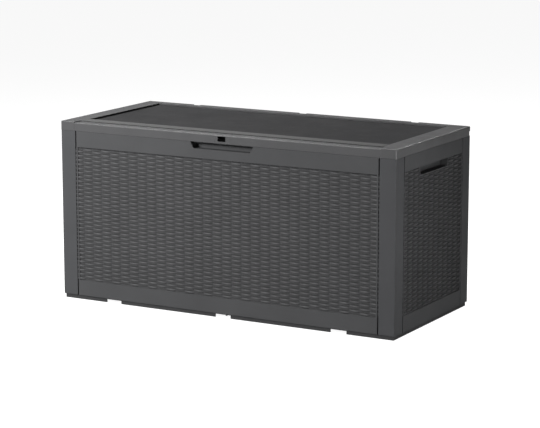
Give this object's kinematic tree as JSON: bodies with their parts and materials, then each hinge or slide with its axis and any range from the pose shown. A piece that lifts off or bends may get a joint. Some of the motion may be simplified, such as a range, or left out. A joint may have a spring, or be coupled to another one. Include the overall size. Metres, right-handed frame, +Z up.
{
  "type": "deck storage box",
  "caption": "Outdoor deck storage box with woven-look resin walls, corner posts, a hinged lid on slotted stays, hand-holds and a padlock window.",
  "frame": {"origin": "middle of the box's footprint, on the ground", "axes": "+X along the width to the right as seen from the front, +Y towards the hinge side at the back, +Z up; the front faces -Y"},
  "size_m": [1.2, 0.535, 0.583],
  "materials": {
    "wall_resin": "injection-moulded resin, woven relief between smooth bands, satin-matte",
    "post_resin": "smooth satin resin with a fine moulded grain",
    "lid_resin": "matte resin with a fine spark-eroded texture",
    "rail_resin": "smooth satin resin with rounded edges",
    "base_resin": "rough matte resin",
    "hinge_resin": "glass-filled nylon, satin",
    "stay_steel": "zinc-plated strip, lightly brushed",
    "screw_steel": "zinc-plated"
  },
  "bodies": {
    "body": {"back_panel": "wall_resin", "base_tray": "base_resin", "front_left_post": "post_resin", "front_panel": "wall_resin", "front_right_post": "post_resin", "left_hinge_base": "hinge_resin", "left_hinge_base_screw_1": "screw_steel", "left_hinge_base_screw_2": "screw_steel", "left_hinge_pin": "screw_steel", "left_side_panel": "wall_resin", "left_stay_stud": "stay_steel", "middle_hinge_base": "hinge_resin", "middle_hinge_base_screw_1": "screw_steel", "middle_hinge_base_screw_2": "screw_steel", "middle_hinge_pin": "screw_steel", "pocket_cup": "wall_resin", "rear_left_post": "post_resin", "rear_right_post": "post_resin", "right_hinge_base": "hinge_resin", "right_hinge_base_screw_1": "screw_steel", "right_hinge_base_screw_2": "screw_steel", "right_hinge_pin": "screw_steel", "right_side_panel": "wall_resin", "right_stay_stud": "stay_steel"},
    "lid": {"left_hinge_leaf": "hinge_resin", "left_hinge_leaf_screw_1": "screw_steel", "left_hinge_leaf_screw_2": "screw_steel", "left_stay_bracket": "stay_steel", "left_stay_rivet": "stay_steel", "left_stay_screw_1": "screw_steel", "left_stay_screw_2": "screw_steel", "lid_front_rail_left": "rail_resin", "lid_front_rail_right": "rail_resin", "lid_left_rail": "rail_resin", "lid_lock_plate": "rail_resin", "lid_panel": "lid_resin", "lid_rear_rail": "rail_resin", "lid_right_rail": "rail_resin", "middle_hinge_leaf": "hinge_resin", "middle_hinge_leaf_screw_1": "screw_steel", "middle_hinge_leaf_screw_2": "screw_steel", "right_hinge_leaf": "hinge_resin", "right_hinge_leaf_screw_1": "screw_steel", "right_hinge_leaf_screw_2": "screw_steel", "right_stay_bracket": "stay_steel", "right_stay_rivet": "stay_steel", "right_stay_screw_1": "screw_steel", "right_stay_screw_2": "screw_steel"},
    "left_stay": {"left_stay_arm": "stay_steel"},
    "right_stay": {"right_stay_arm": "stay_steel"}
  },
  "joints": [
    {"name": "lid_hinge", "type": "hinge", "parent": "body", "child": "lid", "pos_m": [0, 0.2625, 0.5635], "axis": [-1, 0, 0], "range_deg": [0, 95]},
    {"name": "left_stay_pivot", "type": "hinge", "parent": "lid", "child": "left_stay", "pos_m": [-0.566, 0.06306, 0.5485], "axis": [-1, 0, 0], "range_deg": [-47.5, 0]},
    {"name": "right_stay_pivot", "type": "hinge", "parent": "lid", "child": "right_stay", "pos_m": [0.566, 0.06306, 0.5485], "axis": [-1, 0, 0], "range_deg": [-47.5, 0]}
  ],
  "couplings": [
    {"joint": "left_stay_pivot", "follows": "lid_hinge", "ratio": -0.5},
    {"joint": "right_stay_pivot", "follows": "lid_hinge", "ratio": -0.5}
  ]
}
